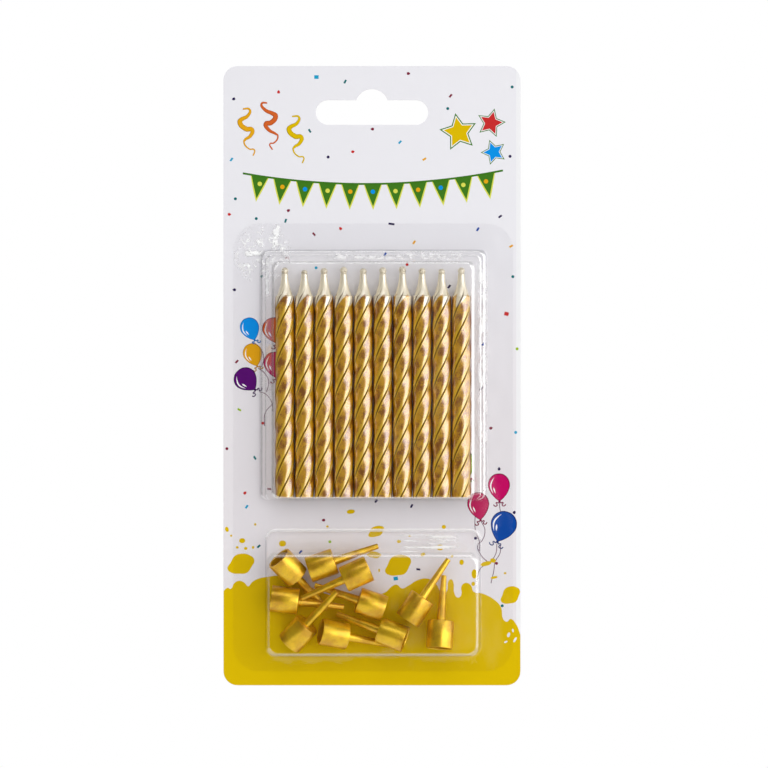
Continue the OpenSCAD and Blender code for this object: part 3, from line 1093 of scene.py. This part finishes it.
chips = {
    "dot": ([(0, 1), (0.87, 0.5), (0.87, -0.5), (0, -1), (-0.87, -0.5), (-0.87, 0.5)], 0.42, 0.42),
    "square": ([(-1, 1, 1), (1, 1, 1), (1, -1, 1), (-1, -1, 1)], 0.62, 0.52),
    "dash": ([(-1, 0.8, 1), (0.8, 1, 1), (1, -0.8, 1), (-0.8, -1, 1)], 0.62, 0.3),
    "long": ([(-1, 1, 1), (1, 1, 1), (1, -1, 1), (-1, -1, 1)], 0.85, 0.28),
    "leaf": ([(-0.9, 0.7, 1), (0.1, 0.95), (1.1, 0, 1), (0.1, -0.95), (-0.9, -0.7, 1)], 0.5, 0.42),
}


def printConfetti():
    for x, z, ink, shape, degrees in confetti:
        outline, wide, high = chips[shape]
        inkArea(placed(outline, x, z, wide, high, degrees), ink, 1, 3)


# the head of the card: a string of pennants, curled streamers and a few stars
pennants = {
    "left": (-36.5, -17.2),
    "right": (37, -16.4),
    "sag": 3.4,
    "count": 11,
    "size": (2.35, 3.0),
    "flag": [(-1, 0, 1), (0, -0.06), (1, 0, 1), (0.46, -1.1), (0, -2.1, 1), (-0.5, -1.08)],
    "rim": [(-1.17, 0.14, 1), (0, 0.1), (1.17, 0.14, 1), (0.62, -1.14), (0, -2.42, 1), (-0.66, -1.12)],
    "tassels": ("glow", "amber", "sky"),
    "tasselDrop": 2.1,
    "tasselSize": 0.62,
}
# x, z, reach, turn, ink
stars = [(24.5, -5.6, 4.3, 10, "sun"), (33.6, -3.0, 3.3, -14, "red"), (34.4, -11.2, 2.9, 20, "sky")]
streamer = {"length": 13.6, "swing": 1.9, "turns": 2.4, "drift": 2.2, "width": 1.15}
# x, z, ink, side to which it swings first
streamers = [(-36.5, 1.5, "amber", 1), (-29.6, 3.2, "orange", -1), (-22.6, -0.6, "sun", 1)]


# a share of the way along the sagging rope: x, z and the slope there in degrees
def ropePoint(share):
    (leftX, leftZ), (rightX, rightZ), sag = pennants["left"], pennants["right"], pennants["sag"] * 4
    x = leftX + (rightX - leftX) * share
    z = leftZ + (rightZ - leftZ) * share - sag * share * (1 - share)
    return x, z, math.degrees(math.atan2(rightZ - leftZ - sag * (1 - 2 * share), rightX - leftX))


def printHeading():
    p = pennants
    wide, high = p["size"]
    for i in range(p["count"]):
        x, z, lean = ropePoint((i + 0.75) / (p["count"] + 0.5))
        z -= 0.1
        inkArea(placed(p["rim"], x, z, wide, high, lean), "glow", 1)
        inkArea(placed(p["flag"], x, z, wide, high, lean), "leaf", 2)
        tassel = placed(chips["dot"][0], x, z - p["tasselDrop"], p["tasselSize"], p["tasselSize"], 0)
        inkArea(tassel, p["tassels"][i % 3], 3)
    inkStroke([ropePoint(i / 16)[:2] for i in range(17)], 0.55, "leaf", 3)
    star = []
    for i in range(10):
        a, reach = math.radians(90 + 36 * i), 0.5 if i % 2 else 1
        star.append((reach * math.cos(a), reach * math.sin(a), 1))
    for x, z, size, degrees, ink in stars:
        for grown, shade, layer in ((1.28, "leaf", 1), (1.12, "white", 2), (1, ink, 3)):
            inkArea(placed(star, x, z, size * grown, size * grown, degrees), shade, layer)
    s = streamer
    for x, z, ink, side in streamers:
        path, widths = [], []
        for i in range(13):
            share = i / 12
            angle = share * s["turns"] * 2 * math.pi
            across = side * s["swing"] * math.sin(angle) * (1 - 0.35 * share) + share * s["drift"]
            path.append((x + across, z - s["length"] * share - 0.5 * math.cos(2 * angle)))
            widths.append(0.35 + 0.9 * math.sin(math.pi * min(1, share * 1.15 + 0.06)) ** 2)
        inkStroke(path, s["width"], ink, 2, widths, 8)


print("print")
printSplash()
printBalloons()
printConfetti()
printHeading()
for name, shapes in inkShapes.items():
    selectOnly(*shapes)
    if len(shapes) > 1:
        bpy.ops.object.join()
    layer = bpy.context.view_layer.objects.active
    cleanMesh(layer)
    layer.name = layer.data.name = "print_" + name
    finishPiece(layer, "card", makeInkFinish(name, inks[name]))


# floor, air, lamps and camera

studio = {
    "floorZ": -0.30,
    "floorRadius": 0.62,
    "distance": 0.80,
    "frameWidth": 0.217,
    "sensor": 36,
    "aim": (0.00339, 0, -0.07673),
    "room": 0.68,
    "leftGlow": 0.02,
    "rightGlow": 1.85,
}
# name, place, aim, width and height, power
lamps = [
    ("rightKey", (0.80, -0.80, 0.12), (0, 0, -0.08), (1.3, 0.7), 4.2),
    ("topSoft", (0, -0.8, 0.85), (0, 0, -0.1), (0.9, 0.5), 2.4),
    ("backFill", (0.3, 1.0, 0.3), (0, 0, -0.08), (0.8, 0.8), 7),
]


def makeFloor():
    bpy.ops.mesh.primitive_circle_add(vertices=96, radius=studio["floorRadius"], fill_type="NGON",
                                      location=(0, 0, studio["floorZ"]))
    disc = bpy.context.object
    disc.name = "studioFloor"
    f = Finish("paleFloor")
    pale = f.mixColour(f.noise(f.place(), 0.01), (244, 244, 245), (249, 249, 250))
    shader = f.add("ShaderNodeBsdfPrincipled", sockets={"Base Color": pale, "Roughness": 0.6})
    disc.data.materials.append(f.surface(shader))
    return disc


# the eye sees white air; gloss sees it behind the pack, a bright side on the right and a dim one on the left
def makeAir():
    s = studio
    f = Finish("studioAir", world=True)
    x, y, z = f.axes(f.add("ShaderNodeTexCoord", output="Generated"))
    eye = f.add("ShaderNodeLightPath", output="Is Camera Ray")
    gloss = f.add("ShaderNodeLightPath", output="Is Glossy Ray")
    through = f.add("ShaderNodeLightPath", output="Is Transmission Ray")
    behind = (y * 1.2 - 0.3).clamped()
    rightSide = (x * 3 - 0.2).clamped() * (1.3 - z * 1.6).clamped()
    glow = rightSide * (s["rightGlow"] - s["leftGlow"]) + (s["leftGlow"] - s["room"])
    dim = gloss * glow + s["room"]
    seen = eye.maths("MAXIMUM", gloss * behind).maths("MAXIMUM", through)
    room = f.add("ShaderNodeBackground", sockets={"Color": (1, 1, 1, 1), "Strength": dim})
    white = f.add("ShaderNodeBackground", sockets={"Color": (1, 1, 1, 1), "Strength": 1.0})
    return f.surface(f.mixShader(seen, room, white))


def addLamp(name, place, aim, size, power):
    data = bpy.data.lights.new(name, "AREA")
    data.shape = "RECTANGLE"
    data.size, data.size_y = size
    data.energy = power
    lamp = bpy.data.objects.new(name, data)
    bpy.context.collection.objects.link(lamp)
    lamp.location = place
    lamp.rotation_euler = (Vector(aim) - Vector(place)).to_track_quat("-Z", "Y").to_euler()


def addCamera():
    s = studio
    data = bpy.data.cameras.new("photoCamera")
    data.sensor_width = s["sensor"]
    data.lens = s["sensor"] * s["distance"] / s["frameWidth"]
    data.clip_start = 0.01
    camera = bpy.data.objects.new("photoCamera", data)
    bpy.context.collection.objects.link(camera)
    camera.location = (s["aim"][0], -s["distance"], s["aim"][2])
    camera.rotation_euler = (math.radians(90), 0, 0)
    bpy.context.scene.camera = camera


print("studio")
floor = makeFloor()
bpy.context.scene.world = makeAir()
for lamp in lamps:
    addLamp(*lamp)
addCamera()
bpy.context.scene.view_settings.view_transform = "Standard"
